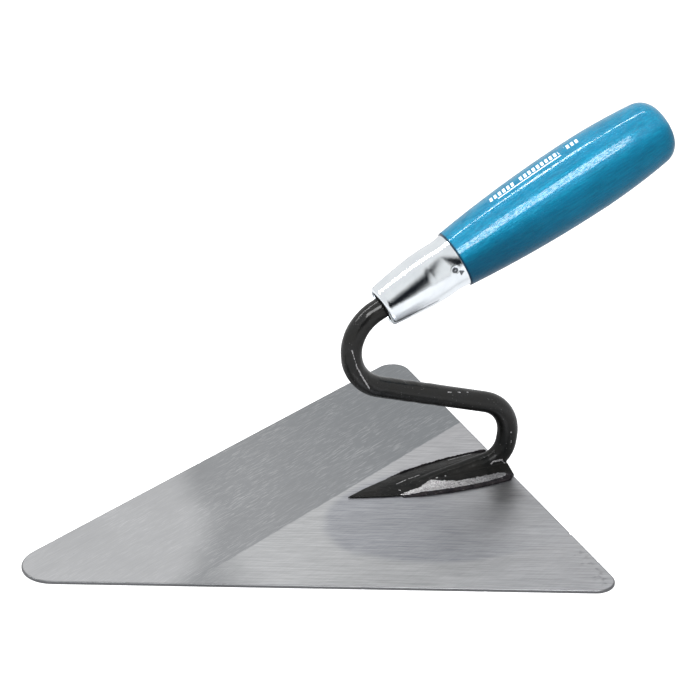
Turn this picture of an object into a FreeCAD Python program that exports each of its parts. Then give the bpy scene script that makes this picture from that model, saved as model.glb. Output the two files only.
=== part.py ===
import FreeCAD, Part
import math
import os

import Sketcher

# Brick trowel, millimetres. +X points from the blade's heel to its tip, +Y to the left and +Z up.
# The origin is on the sole of the blade, at the middle of its heel edge.

SIZES = [
    ("blade_length", 210, "heel edge to rounded tip"),
    ("blade_width", 210, "over the two rounded heel corners"),
    ("blade_gauge", 1.2, "sheet thickness"),
    ("tip_round", 13.75, "radius of the tip"),
    ("corner_round", 7.8, "radius of the heel corners"),
    ("edge_bevel", 0.35, "ground bevel round the top edge"),
    ("foot_length", 71, "heel edge to the leaf's point"),
    ("foot_half_width", 12.7, "half of the leaf at its belly"),
    ("foot_heel_half_width", 11.2, "half of the leaf at the heel edge"),
    ("foot_belly", 11, "heel edge to the belly"),
    ("foot_edge", 0.8, "height of the leaf's upright edge"),
    ("mound_length", 52, "heel edge to the front of the raised middle"),
    ("mound_half_width", 5.4, "half of the raised middle at its belly"),
    ("mound_heel_half_width", 4.6, "half of the raised middle at its heel"),
    ("mound_rise", 3.1, "raised middle above the blade, at the heel"),
    ("mound_slope", 1.9, "degrees that the raised middle falls towards the tip"),
    ("left_bead_width", 1.4, "weld bead outside the leaf, on the left"),
    ("right_bead_width", 0.9, "the same on the right"),
    ("bead_height", 1.3, "weld bead above the blade"),
    ("bead_slope", 0.8, "bevel along the bead's outer top edge"),
    ("bead_start", 2.2, "heel edge to the start of the bead"),
    ("bead_end", 50, "heel edge to the end of the bead"),
    ("rod", 8.8, "diameter of the neck"),
    ("ridge_slope", 9, "degrees that the rod dips along the foot"),
    ("ridge_run", 50, "rod along the foot, from the heel corner"),
    ("heel_x", -0.2, "sharp corner of the rod's route above the heel"),
    ("heel_z", 4.8, "the same corner's height"),
    ("heel_bend", 10.9, "bend radius there"),
    ("knee_x", -3.9, "sharp corner where the neck turns forward"),
    ("knee_z", 28.4, "the same corner's height"),
    ("knee_bend", 16.3, "bend radius there"),
    ("crown_reach", 83.5, "last corner to the shoulder, along the handle's axis"),
    ("crown_bend", 18.6, "bend radius there"),
    ("shoulder_x", 23.45, "middle of the handle's shoulder"),
    ("shoulder_z", 100.6, "the same point's height"),
    ("handle_rise", 25, "degrees that the handle rises towards its butt"),
    ("ferrule_length", 35.3, "shoulder to mouth"),
    ("ferrule_wall", 0.8, "thinnest wall"),
    ("mouth_gap", 2.8, "rod to the mouth's edge"),
    ("mouth_roll", 1.7, "radius of the rolled-in mouth"),
    ("mouth_lip", 0.9, "thickness of the mouth's lip"),
    ("cone_end", 15, "shoulder to the wide end of the cone"),
    ("waist_radius", 11.05, "outside radius of the ferrule's straight part"),
    ("waist", 5.5, "shoulder to the waist"),
    ("belly_curve", 66, "radius of the slight belly before the waist"),
    ("flare", 0.55, "flare at the shoulder"),
    ("round_mark", 2.5, "width of the round punch mark"),
    ("wedge_mark", 2.1, "width of the three-sided punch mark"),
    ("mark_depth", 0.3, "depth of the punch marks"),
    ("mark_place", 4, "shoulder to the round punch mark"),
    ("mark_apart", 1.5, "round mark to the three-sided one, along the ferrule"),
    ("mark_step", 2.3, "round mark to the three-sided one, across the ferrule"),
    ("mark_turn", 76, "degrees round the ferrule from its upper side to the left"),
    ("tenon_length", 28, "shoulder to the tenon's end face"),
    ("tenon_fit", 0.1, "tenon to ferrule"),
    ("shoulder_step", 0.6, "handle proud of the ferrule"),
    ("grip_length", 103.3, "shoulder to butt"),
    ("grip_radius", 15.8, "largest radius of the grip"),
    ("grip_belly", 63, "shoulder to the largest radius"),
    ("grip_back_curve", 265, "lengthwise curve behind the belly"),
    ("butt_start", 95.8, "shoulder to where the butt starts to round over"),
    ("butt_flat", 6, "radius of the butt's nearly flat end"),
    ("butt_dome", 0.5, "rise of the butt's end"),
    ("butt_round", 8.6, "radius of the butt's rounded edge"),
    ("spike_root", 6, "side of the square spike at the rod"),
    ("spike_end", 2.6, "side of the square spike at its end"),
    ("spike_length", 92, "length of the spike"),
    ("spike_fit", 0.05, "spike to its hole, each side"),
]

document = FreeCAD.newDocument("brick_trowel")
sheet = document.addObject("Spreadsheet::Sheet", "sizes")


class Size:
    """A number that also knows the sheet expression it comes from."""

    def __init__(self, number, text):
        self.number = number
        self.text = text

    def __add__(self, other):
        other = as_size(other)
        return Size(self.number + other.number, f"({self.text} + {other.text})")

    def __sub__(self, other):
        other = as_size(other)
        return Size(self.number - other.number, f"({self.text} - {other.text})")

    def __mul__(self, other):
        other = as_size(other)
        return Size(self.number * other.number, f"({self.text} * {other.text})")

    def __truediv__(self, other):
        other = as_size(other)
        return Size(self.number / other.number, f"({self.text} / {other.text})")

    def __neg__(self):
        return Size(-self.number, f"(0 - {self.text})")


def as_size(value):
    return value if isinstance(value, Size) else Size(float(value), repr(float(value)))


def sine(angle):
    return Size(math.sin(math.radians(angle.number)), f"sin({angle.text})")


def cosine(angle):
    return Size(math.cos(math.radians(angle.number)), f"cos({angle.text})")


def fill_sheet():
    """Writes the driving sizes and returns them by name."""
    named = {}
    for row, (name, value, meaning) in enumerate(SIZES, start=1):
        sheet.set(f"A{row}", name)
        sheet.set(f"B{row}", str(value))
        sheet.set(f"C{row}", meaning)
        sheet.setAlias(f"B{row}", name)
        named[name] = Size(float(value), f"sizes.{name}")
    document.recompute()
    return named


def bind(thing, path, size):
    thing.setExpression(path, as_size(size).text)


def new_body(name):
    body = document.addObject("PartDesign::Body", name)
    body.Label = name
    return body


def new_sketch(body, name, plane="XY_Plane", at=(0, 0, 0), tilt_axis=(0, 1, 0), tilt=0):
    """A sketch on one of the body's origin planes, moved and tilted in that plane's own axes."""
    sketch = body.newObject("Sketcher::SketchObject", name)
    support = [f for f in body.Origin.OriginFeatures if f.Role == plane][0]
    sketch.AttachmentSupport = [(support, "")]
    sketch.MapMode = "FlatFace"
    place = FreeCAD.Vector(*[as_size(value).number for value in at])
    turn = FreeCAD.Rotation(FreeCAD.Vector(*tilt_axis), as_size(tilt).number)
    sketch.AttachmentOffset = FreeCAD.Placement(place, turn)
    for letter, value in zip("xyz", at):
        if isinstance(value, Size):
            bind(sketch, f"AttachmentOffset.Base.{letter}", value)
    if isinstance(tilt, Size):
        bind(sketch, "AttachmentOffset.Rotation.Angle", tilt)
    return sketch


def hold(sketch, kind, *where, to=None):
    """Adds a constraint, bound to the sheet when its value is a size from there."""
    if to is None:
        sketch.addConstraint(Sketcher.Constraint(kind, *where))
        return
    number = sketch.addConstraint(Sketcher.Constraint(kind, *where, as_size(to).number))
    if isinstance(to, Size):
        bind(sketch, f"Constraints[{number}]", to)


def pin(sketch, edge, end, x, y):
    """Fixes one end of an edge at x, y from the sketch's origin."""
    hold(sketch, "DistanceX", -1, 1, edge, end, to=x)
    hold(sketch, "DistanceY", -1, 1, edge, end, to=y)


def arc_between(start, end, radius):
    """The short arc from start to end: it bulges to the right of the way there if radius > 0."""
    chord = end - start
    middle = (start + end) / 2
    right = FreeCAD.Vector(chord.y, -chord.x, 0) / chord.Length
    drop = math.sqrt(radius**2 - (chord.Length / 2) ** 2)
    centre = middle - right * math.copysign(drop, radius)
    first, last = (start, end) if radius > 0 else (end, start)
    angles = [math.atan2(p.y - centre.y, p.x - centre.x) for p in (first, last)]
    circle = Part.Circle(centre, FreeCAD.Vector(0, 0, 1), abs(radius))
    return Part.ArcOfCircle(circle, *angles)


def outline(sketch, corners):
    """A closed outline. Each corner is x, y and the radius of the edge that follows it, or None."""
    points = [FreeCAD.Vector(as_size(x).number, as_size(y).number, 0) for x, y, _ in corners]
    count = len(corners)
    starts = []
    for index, (_, _, radius) in enumerate(corners):
        start, end = points[index], points[(index + 1) % count]
        if radius is None:
            sketch.addGeometry(Part.LineSegment(start, end))
            starts.append((1, 2))
            continue
        number = as_size(radius).number
        sketch.addGeometry(arc_between(start, end, number))
        starts.append((1, 2) if number > 0 else (2, 1))
    for index, (x, y, radius) in enumerate(corners):
        following = (index + 1) % count
        hold(sketch, "Coincident", index, starts[index][1], following, starts[following][0])
        pin(sketch, index, starts[index][0], x, y)
        if radius is not None:
            size = as_size(radius)
            hold(sketch, "Radius", index, to=size if size.number > 0 else -size)


def pad(body, name, sketch, length):
    feature = body.newObject("PartDesign::Pad", name)
    feature.Profile = sketch
    bind(feature, "Length", length)
    return feature


def revolve(body, name, sketch):
    feature = body.newObject("PartDesign::Revolution", name)
    feature.Profile = sketch
    feature.ReferenceAxis = (sketch, ["V_Axis"])
    feature.Angle = 360
    return feature


def loft(body, name, sketches, kind="PartDesign::AdditiveLoft"):
    feature = body.newObject(kind, name)
    feature.Profile = sketches[0]
    feature.Sections = sketches[1:]
    feature.Ruled = True
    return feature


def pocket(body, name, sketch, length, away=False):
    """Cuts from the sketch, against its normal unless away is set, and insists that it cut."""
    document.recompute()
    before = body.Shape.Volume
    feature = body.newObject("PartDesign::Pocket", name)
    feature.Profile = sketch
    feature.Reversed = away
    bind(feature, "Length", length)
    document.recompute()
    if body.Shape.Volume >= before:
        raise RuntimeError(f"{name} cut nothing")
    return feature


def put_on_handle_axis(body, size):
    """The body's own +Z becomes the handle's axis, with its zero at the shoulder."""
    turn = FreeCAD.Rotation(FreeCAD.Vector(0, 1, 0), size["handle_rise"].number - 90)
    place = FreeCAD.Vector(size["shoulder_x"].number, 0, size["shoulder_z"].number)
    body.Placement = FreeCAD.Placement(place, turn)
    bind(body, "Placement.Base.x", size["shoulder_x"])
    bind(body, "Placement.Base.z", size["shoulder_z"])
    bind(body, "Placement.Rotation.Angle", size["handle_rise"] - 90)


def along_handle(size, distance):
    """The point on the handle's axis at a distance from the shoulder, towards the butt."""
    x = size["shoulder_x"] - cosine(size["handle_rise"]) * distance
    z = size["shoulder_z"] + sine(size["handle_rise"]) * distance
    return x, z


def make_blade(size):
    """A flat isosceles sheet with three round corners, bevelled along its top edge."""
    body = new_body("blade")
    sketch = new_sketch(body, "blade_outline")
    tip_x = size["blade_length"] - size["tip_round"]
    side_y = size["blade_width"] / 2 - size["corner_round"]
    tip, corner = size["tip_round"].number, size["corner_round"].number
    run, spread = tip_x.number - corner, side_y.number
    slope = math.atan2(spread, run) - math.asin((tip - corner) / math.hypot(run, spread))
    lean = math.pi / 2 - slope
    up = FreeCAD.Vector(0, 0, 1)
    outward = FreeCAD.Vector(math.sin(slope), math.cos(slope), 0)
    tip_centre = FreeCAD.Vector(tip_x.number, 0, 0)
    left_centre = FreeCAD.Vector(corner, spread, 0)
    tip_end = tip_centre + outward * tip
    left_start = left_centre + outward * corner
    left_end = FreeCAD.Vector(0, spread, 0)

    def mirrored(point):
        return FreeCAD.Vector(point.x, -point.y, 0)

    def arc(centre, radius, start, end):
        sketch.addGeometry(Part.ArcOfCircle(Part.Circle(centre, up, radius), start, end))

    arc(tip_centre, tip, -lean, lean)
    sketch.addGeometry(Part.LineSegment(tip_end, left_start))
    arc(left_centre, corner, lean, math.pi)
    sketch.addGeometry(Part.LineSegment(left_end, mirrored(left_end)))
    arc(mirrored(left_centre), corner, math.pi, 2 * math.pi - lean)
    sketch.addGeometry(Part.LineSegment(mirrored(left_start), mirrored(tip_end)))
    for edge in range(6):
        hold(sketch, "Tangent", edge, 2, (edge + 1) % 6, 1)
    hold(sketch, "Radius", 0, to=size["tip_round"])
    hold(sketch, "Radius", 2, to=size["corner_round"])
    hold(sketch, "Radius", 4, to=size["corner_round"])
    hold(sketch, "PointOnObject", 0, 3, -1)
    hold(sketch, "DistanceX", -1, 1, 0, 3, to=tip_x)
    hold(sketch, "DistanceX", -1, 1, 2, 3, to=size["corner_round"])
    hold(sketch, "DistanceY", -1, 1, 2, 3, to=side_y)
    hold(sketch, "DistanceY", -1, 1, 4, 3, to=-side_y)
    sheet_metal = pad(body, "blade_sheet", sketch, size["blade_gauge"])
    document.recompute()
    top = max(range(len(sheet_metal.Shape.Faces)),
              key=lambda index: sheet_metal.Shape.Faces[index].CenterOfMass.z)
    bevel = body.newObject("PartDesign::Chamfer", "blade_bevel")
    bevel.Base = (sheet_metal, [f"Face{top + 1}"])
    bind(bevel, "Size", size["edge_bevel"])
    return body


def side_radius(reach, half_width):
    """Radius of an arc that is level at its widest and gives up half_width over reach."""
    return (reach * reach + half_width * half_width) / (half_width * 2)


def leaf(sketch, length, half_width, heel_half_width, belly):
    """A leaf outline: a straight heel, a belly and two long arcs that meet in a point."""
    heel_arc = side_radius(belly, half_width - heel_half_width)
    long_arc = side_radius(length - belly, half_width)
    outline(sketch, [
        (0, -heel_half_width, heel_arc),
        (belly, -half_width, long_arc),
        (length, 0, long_arc),
        (belly, half_width, heel_arc),
        (0, heel_half_width, None),
    ])


def neck_route(sketch, size):
    """The rod's middle line: four straight runs joined by three tangent bends."""
    slope = size["ridge_slope"]
    start = (size["heel_x"] + cosine(slope) * size["ridge_run"],
             size["heel_z"] - sine(slope) * size["ridge_run"])
    heel = (size["heel_x"], size["heel_z"])
    knee = (size["knee_x"], size["knee_z"])
    crown = along_handle(size, -size["crown_reach"])
    end = along_handle(size, -size["tenon_length"])
    stops = [start, heel, knee, crown, end]
    points = [FreeCAD.Vector(x.number, z.number, 0) for x, z in stops]
    bends = [size["heel_bend"], size["knee_bend"], size["crown_bend"]]
    turns = []
    last = points[0]
    for index, bend in enumerate(bends, start=1):
        before = (points[index] - points[index - 1]).normalize()
        after = (points[index + 1] - points[index]).normalize()
        turn = math.atan2(before.x * after.y - before.y * after.x, before.dot(after))
        reach = bend.number * math.tan(abs(turn) / 2)
        bend_start = points[index] - before * reach
        bend_end = points[index] + after * reach
        sketch.addGeometry(Part.LineSegment(last, bend_start))
        sketch.addGeometry(arc_between(bend_start, bend_end, math.copysign(bend.number, turn)))
        turns.append(turn)
        last = bend_end
    sketch.addGeometry(Part.LineSegment(last, points[-1]))
    pin(sketch, 0, 1, *start)
    pin(sketch, 2 * len(bends), 2, *end)
    for number, (bend, turn, corner) in enumerate(zip(bends, turns, [heel, knee, crown])):
        run, arc, next_run = 2 * number, 2 * number + 1, 2 * number + 2
        arriving, leaving = (1, 2) if turn > 0 else (2, 1)
        hold(sketch, "Tangent", run, 2, arc, arriving)
        hold(sketch, "Tangent", arc, leaving, next_run, 1)
        hold(sketch, "Radius", arc, to=bend)
        marker = sketch.addGeometry(Part.Point(points[number + 1]), True)
        pin(sketch, marker, 1, *corner)
        hold(sketch, "PointOnObject", marker, 1, run)
        hold(sketch, "PointOnObject", marker, 1, next_run)
    return start


def square(sketch, side):
    half = side / 2
    outline(sketch, [(-half, -half, None), (half, -half, None), (half, half, None), (-half, half, None)])


def make_tang(size):
    """One forging: the leaf-shaped foot, the swan neck and the spike inside the handle."""
    body = new_body("tang")
    on_blade = size["blade_gauge"]
    edge = new_sketch(body, "foot_outline", at=(0, 0, on_blade))
    leaf(edge, size["foot_length"], size["foot_half_width"], size["foot_heel_half_width"],
         size["foot_belly"])
    pad(body, "foot_plate", edge, size["foot_edge"])
    low = new_sketch(body, "mound_base", at=(0, 0, on_blade + size["foot_edge"]))
    leaf(low, size["foot_length"], size["foot_half_width"], size["foot_heel_half_width"],
         size["foot_belly"])
    high = new_sketch(body, "mound_top", at=(0, 0, on_blade + size["mound_rise"]),
                      tilt=size["mound_slope"])
    leaf(high, size["mound_length"], size["mound_half_width"], size["mound_heel_half_width"],
         size["foot_belly"])
    loft(body, "foot_mound", [low, high])

    route = new_sketch(body, "neck_route", plane="XZ_Plane")
    start_x, start_z = neck_route(route, size)
    section = new_sketch(body, "rod_section", plane="YZ_Plane", at=(0, start_z, start_x),
                         tilt_axis=(1, 0, 0), tilt=size["ridge_slope"])
    section.addGeometry(Part.Circle(FreeCAD.Vector(0, 0, 0), FreeCAD.Vector(0, 0, 1),
                                    size["rod"].number / 2))
    hold(section, "Coincident", 0, 3, -1, 1)
    hold(section, "Diameter", 0, to=size["rod"])
    document.recompute()
    neck = body.newObject("PartDesign::AdditivePipe", "neck_rod")
    neck.Profile = section
    neck.Spine = (route, [f"Edge{number}" for number in range(1, len(route.Shape.Edges) + 1)])

    below = new_sketch(body, "below_blade_top", at=(0, 0, on_blade))
    reach = size["foot_length"]
    outline(below, [(-reach, -reach, None), (reach, -reach, None), (reach, reach, None),
                    (-reach, reach, None)])
    pocket(body, "flat_under_foot", below, size["rod"] * 2)

    sections = []
    for name, distance, side in [
        ("spike_root_section", -size["tenon_length"], size["spike_root"]),
        ("spike_end_section", size["spike_length"] - size["tenon_length"], size["spike_end"]),
    ]:
        x, z = along_handle(size, distance)
        sketch = new_sketch(body, name, at=(x, 0, z), tilt=size["handle_rise"] - 90)
        square(sketch, side)
        sections.append(sketch)
    loft(body, "spike", sections)
    return body


def make_weld_bead(name, side, size):
    """A run of weld along one edge of the foot. side is 1 on the left and -1 on the right."""
    body = new_body(name)
    sketch = new_sketch(body, f"{name}_outline", at=(0, 0, size["blade_gauge"]))
    belly, half_width = size["foot_belly"], size["foot_half_width"]
    heel_curve = side_radius(belly, half_width - size["foot_heel_half_width"])
    long_curve = side_radius(size["foot_length"] - belly, half_width)

    def beside_foot(curve, x, gap):
        """The point at x on the arc that runs a gap outside one of the foot's arcs."""
        radius = curve + gap
        reach = radius * radius - (x - belly) * (x - belly)
        rise = Size(math.sqrt(reach.number), f"sqrt({reach.text})")
        return x, (half_width - curve + rise) * side

    width = size["left_bead_width"] if side > 0 else size["right_bead_width"]
    start, end = size["bead_start"], size["bead_end"]
    outline(sketch, [
        (*beside_foot(heel_curve, start, 0), heel_curve * -side),
        (*beside_foot(long_curve, belly, 0), long_curve * -side),
        (*beside_foot(long_curve, end, 0), None),
        (*beside_foot(long_curve, end, width), (long_curve + width) * side),
        (*beside_foot(heel_curve, belly, width), (heel_curve + width) * side),
        (*beside_foot(heel_curve, start, width), None),
    ])
    run = pad(body, f"{name}_run", sketch, size["bead_height"])
    document.recompute()
    top = size["blade_gauge"].number + size["bead_height"].number
    radii = [(heel_curve + width).number, (long_curve + width).number]
    outside = []
    for number, edge in enumerate(run.Shape.Edges, start=1):
        on_top = edge.BoundBox.ZMin > top - size["bead_height"].number / 2
        if on_top and any(abs(getattr(edge.Curve, "Radius", 0) - r) < 1e-3 for r in radii):
            outside.append(f"Edge{number}")
    bevel = body.newObject("PartDesign::Chamfer", f"{name}_slope")
    bevel.Base = (run, outside)
    bind(bevel, "Size", size["bead_slope"])
    return body


def ferrule_inside(size):
    """Radii of the ferrule's bore: its straight part, and the cone's end at the lip."""
    straight = size["waist_radius"] - size["ferrule_wall"]
    mouth = size["rod"] / 2 + size["mouth_gap"]
    cone = mouth + size["mouth_roll"] - size["ferrule_wall"]
    return straight, cone, mouth


def punch_sketch(body, name, distance, size):
    """A sketch just under the ferrule's surface, facing outwards on its left side."""
    turn = size["mark_turn"] + 90
    bottom = size["waist_radius"] - size["mark_depth"]
    place = (sine(turn) * bottom, -distance, cosine(turn) * bottom)
    return new_sketch(body, name, plane="XZ_Plane", tilt=turn, at=place)


def make_ferrule(size):
    """A coned tube with a rolled-in mouth, punched twice to hold it on the handle."""
    body = new_body("ferrule")
    put_on_handle_axis(body, size)
    sketch = new_sketch(body, "ferrule_section", plane="XZ_Plane")
    straight, cone, mouth = ferrule_inside(size)
    length, waist = size["ferrule_length"], size["waist_radius"]
    lip = -length + size["mouth_lip"]
    flare = side_radius(size["waist"], size["flare"])
    outline(sketch, [
        (mouth, -length, size["mouth_roll"]),
        (mouth + size["mouth_roll"], size["mouth_roll"] - length, None),
        (waist, -size["cone_end"], size["belly_curve"]),
        (waist, -size["waist"], -flare),
        (waist + size["flare"], 0, None),
        (straight, 0, None),
        (straight, -size["cone_end"], None),
        (cone, lip, None),
        (mouth, lip, None),
    ])
    revolve(body, "ferrule_tube", sketch)
    round_mark = punch_sketch(body, "round_mark", size["mark_place"], size)
    round_mark.addGeometry(Part.Circle(FreeCAD.Vector(0, 0, 0), FreeCAD.Vector(0, 0, 1),
                                       size["round_mark"].number / 2))
    hold(round_mark, "Coincident", 0, 3, -1, 1)
    hold(round_mark, "Diameter", 0, to=size["round_mark"])
    cut_depth = size["flare"] + size["mark_depth"] * 2
    pocket(body, "round_punch", round_mark, cut_depth, away=True)
    wedge = punch_sketch(body, "wedge_mark", size["mark_place"] - size["mark_apart"], size)
    half, across = size["wedge_mark"] / 2, size["mark_step"]
    outline(wedge, [(across - half, -half, None), (across + half, -half, None), (across, half, None)])
    pocket(body, "wedge_punch", wedge, cut_depth, away=True)
    return body


def make_handle(size):
    """The turned grip, with its tenon inside the ferrule and the square hole for the spike."""
    body = new_body("handle")
    put_on_handle_axis(body, size)
    sketch = new_sketch(body, "handle_section", plane="XZ_Plane")
    straight, cone, _ = ferrule_inside(size)
    fit = size["tenon_fit"]
    cone_run = size["ferrule_length"] - size["mouth_lip"] - size["cone_end"]
    taper = (straight - cone) / cone_run
    tenon_end = straight - taper * (size["tenon_length"] - size["cone_end"]) - fit
    shoulder = size["waist_radius"] + size["flare"] + size["shoulder_step"]
    front_curve = side_radius(size["grip_belly"], size["grip_radius"] - shoulder)
    back = size["butt_start"] - size["grip_belly"]
    curve = size["grip_back_curve"]
    inside = curve * curve - back * back
    drop = curve - Size(math.sqrt(inside.number), f"sqrt({inside.text})")
    dome = side_radius(size["butt_flat"], size["butt_dome"])
    outline(sketch, [
        (0, -size["tenon_length"], None),
        (tenon_end, -size["tenon_length"], None),
        (straight - fit, -size["cone_end"], None),
        (straight - fit, 0, None),
        (shoulder, 0, front_curve),
        (size["grip_radius"], size["grip_belly"], curve),
        (size["grip_radius"] - drop, size["butt_start"], size["butt_round"]),
        (size["butt_flat"], size["grip_length"] - size["butt_dome"], dome),
        (0, size["grip_length"], None),
    ])
    revolve(body, "handle_turning", sketch)
    sections = []
    for name, distance, side in [
        ("hole_mouth", -size["tenon_length"], size["spike_root"]),
        ("hole_end", size["spike_length"] - size["tenon_length"] + size["spike_fit"], size["spike_end"]),
    ]:
        hole = new_sketch(body, name, at=(0, 0, distance))
        square(hole, side + size["spike_fit"] * 2)
        sections.append(hole)
    loft(body, "spike_hole", sections, "PartDesign::SubtractiveLoft")
    return body


def check_document(bodies):
    """Stops with a plain message when a feature failed or a solid isn't sound."""
    for thing in document.Objects:
        bad = [state for state in thing.State if state in ("Invalid", "Error")]
        if bad:
            raise RuntimeError(f"{thing.Label}: {bad}")
    for body in bodies:
        if body.Shape.isNull() or not body.Shape.isValid() or len(body.Shape.Solids) != 1:
            raise RuntimeError(f"{body.Label} isn't one sound solid")


def main():
    size = fill_sheet()
    bodies = [
        make_blade(size),
        make_tang(size),
        make_weld_bead("weld_bead_left", 1, size),
        make_weld_bead("weld_bead_right", -1, size),
        make_ferrule(size),
        make_handle(size),
    ]
    document.recompute()
    check_document(bodies)
    os.makedirs("parts", exist_ok=True)
    for body in bodies:
        body.Shape.exportStep(f"parts/{body.Label}.step")
        box = body.Shape.BoundBox
        print(f"{body.Label}: {body.Shape.Volume:.0f} mm3, "
              f"x {box.XMin:.1f} to {box.XMax:.1f}, z {box.ZMin:.1f} to {box.ZMax:.1f}")


main()
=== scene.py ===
"""Brick trowel: ground blade, black forged tang and welds, plated ferrule, lacquered grip.

Every length is in metres unless its name or comment says millimetres. The grip, the ferrule and the
shoulder between them share one sloping line, the grip line: "along" runs up it from the shoulder,
and "around" turns about it from its upper side towards the trowel's left (+Y).
"""
import math

import bmesh
import bpy
import numpy as np
from mathutils import Matrix, Vector, geometry, noise
from mathutils.bvhtree import BVHTree


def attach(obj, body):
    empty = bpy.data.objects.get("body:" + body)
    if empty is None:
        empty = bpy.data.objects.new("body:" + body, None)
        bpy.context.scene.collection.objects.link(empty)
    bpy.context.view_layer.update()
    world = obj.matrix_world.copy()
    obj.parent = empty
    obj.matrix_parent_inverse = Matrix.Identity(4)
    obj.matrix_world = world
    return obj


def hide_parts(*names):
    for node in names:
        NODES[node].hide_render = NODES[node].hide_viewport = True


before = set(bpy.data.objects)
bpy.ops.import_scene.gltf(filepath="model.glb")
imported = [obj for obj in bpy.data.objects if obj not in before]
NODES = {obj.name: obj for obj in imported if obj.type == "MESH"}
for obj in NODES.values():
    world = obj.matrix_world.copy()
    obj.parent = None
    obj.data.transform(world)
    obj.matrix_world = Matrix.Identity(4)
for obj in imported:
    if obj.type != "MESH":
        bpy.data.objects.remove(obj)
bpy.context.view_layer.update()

MM = 0.001

GRIP_RISE = math.radians(25.0)      # slope of the grip line above the blade
GRIP_ALONG = Vector((-math.cos(GRIP_RISE), 0.0, math.sin(GRIP_RISE)))
GRIP_UPPER = Vector((math.sin(GRIP_RISE), 0.0, math.cos(GRIP_RISE)))
GRIP_LEFT = Vector((0.0, 1.0, 0.0))


# ---------------------------------------------------------------- mesh helpers

def points_of(mesh):
    """A mesh's vertices as a numpy table, in metres."""
    flat = np.empty(len(mesh.vertices) * 3, np.float32)
    mesh.vertices.foreach_get("co", flat)
    return flat.reshape(-1, 3).astype(float)


def normals_of(mesh):
    """A mesh's vertex normals as a numpy table."""
    flat = np.empty(len(mesh.vertices) * 3, np.float32)
    mesh.vertex_normals.foreach_get("vector", flat)
    return flat.reshape(-1, 3).astype(float)


def place_points(mesh, points):
    """Moves a mesh's vertices to these places."""
    mesh.vertices.foreach_set("co", points.astype(np.float32).ravel())
    mesh.update()


def keep_value(mesh, name, values):
    """Stores one number per vertex, for a material to read."""
    attribute = mesh.attributes.new(name, "FLOAT", "POINT")
    attribute.data.foreach_set("value", values.astype(np.float32))


def add_piece(name, mesh, node, finish):
    """Shows a mesh as the piece that stands for a CAD node."""
    piece = bpy.data.objects.new(name, mesh)
    bpy.context.scene.collection.objects.link(piece)
    mesh.materials.clear()
    mesh.materials.append(finish)
    for polygon in mesh.polygons:
        polygon.use_smooth = True
    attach(piece, "root")
    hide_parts(node)
    return piece


def ramp(value, low, high):
    """0 below low, 1 above high, and a smooth step between. Works on numbers and on tables."""
    share = np.clip((value - low) / (high - low), 0.0, 1.0)
    return share * share * (3.0 - 2.0 * share)


def lumps(points, size, seed):
    """Smooth noise from -1 to 1 with features of this size, at each point."""
    shift = Vector((13.7 * seed, 5.1 * seed, 9.3 * seed))
    return np.array([noise.noise(Vector(p) / size + shift) for p in points])


def grip_coordinates(points):
    """Along (metres), around (degrees) and distance (metres) of each point from the grip line."""
    offset = points - np.array(SHOULDER)
    along = offset @ np.array(GRIP_ALONG)
    upper = offset @ np.array(GRIP_UPPER)
    left = offset @ np.array(GRIP_LEFT)
    return along, np.degrees(np.arctan2(left, upper)), np.hypot(upper, left)


def find_shoulder():
    """Where on the grip line the ferrule ends and the wood begins, measured on the CAD."""
    ferrule = points_of(NODES["ferrule"].data)
    handle = points_of(NODES["handle"].data)
    height = handle @ np.array(GRIP_UPPER)
    reach = (ferrule @ np.array(GRIP_ALONG)).max()
    return GRIP_ALONG * reach + GRIP_UPPER * (height.max() + height.min()) / 2


SHOULDER = find_shoulder()


def closed_mesh(name, points, faces):
    """A mesh from points and faces, with every face turned outwards."""
    mesh = bpy.data.meshes.new(name)
    mesh.from_pydata([tuple(p) for p in points], [], faces)
    build = bmesh.new()
    build.from_mesh(mesh)
    bmesh.ops.recalc_face_normals(build, faces=build.faces)
    build.to_mesh(mesh)
    build.free()
    return mesh


def easing_weights(easing, spacing):
    """How many neighbours a point is eased over, and the weight of each."""
    reach = max(1, int(easing / spacing))
    weights = np.hanning(2 * reach + 3)[1:-1]
    return reach, weights / weights.sum()


def turned_profile(node, aims, spacing, easing):
    """A CAD piece's outer line as (along, radius) pairs, evenly spaced, with its facets eased out.
    Each aim is (along, radius, degrees): a straight line comes in from outside to that point, and meets
    the piece on the way. 90 degrees is square to the grip line, and 0 looks down it from the butt."""
    graph = bpy.context.evaluated_depsgraph_get()
    skin = BVHTree.FromObject(NODES[node], graph)
    pairs = []
    for along, radius, degrees in aims:
        turn = math.radians(degrees)
        outward = GRIP_ALONG * math.cos(turn) + GRIP_UPPER * math.sin(turn)
        target = SHOULDER + GRIP_ALONG * along + GRIP_UPPER * radius
        met = skin.ray_cast(target + outward * 0.1, -outward)[0] - SHOULDER
        pairs.append((met.dot(GRIP_ALONG), met.dot(GRIP_UPPER)))
    pairs = np.array(pairs)
    travel = np.r_[0.0, np.cumsum(np.hypot(*np.diff(pairs, axis=0).T))]
    places = np.linspace(0.0, travel[-1], int(travel[-1] / spacing) + 1)
    line = np.c_[np.interp(places, travel, pairs[:, 0]), np.interp(places, travel, pairs[:, 1])]
    reach, weights = easing_weights(easing, spacing)
    before = 2 * line[0] - line[reach:0:-1]
    after = 2 * line[-1] - line[-2:-2 - reach:-1]
    padded = np.r_[before, line, after]
    return np.c_[[np.convolve(padded[:, k], weights, "valid") for k in (0, 1)]].T


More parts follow.
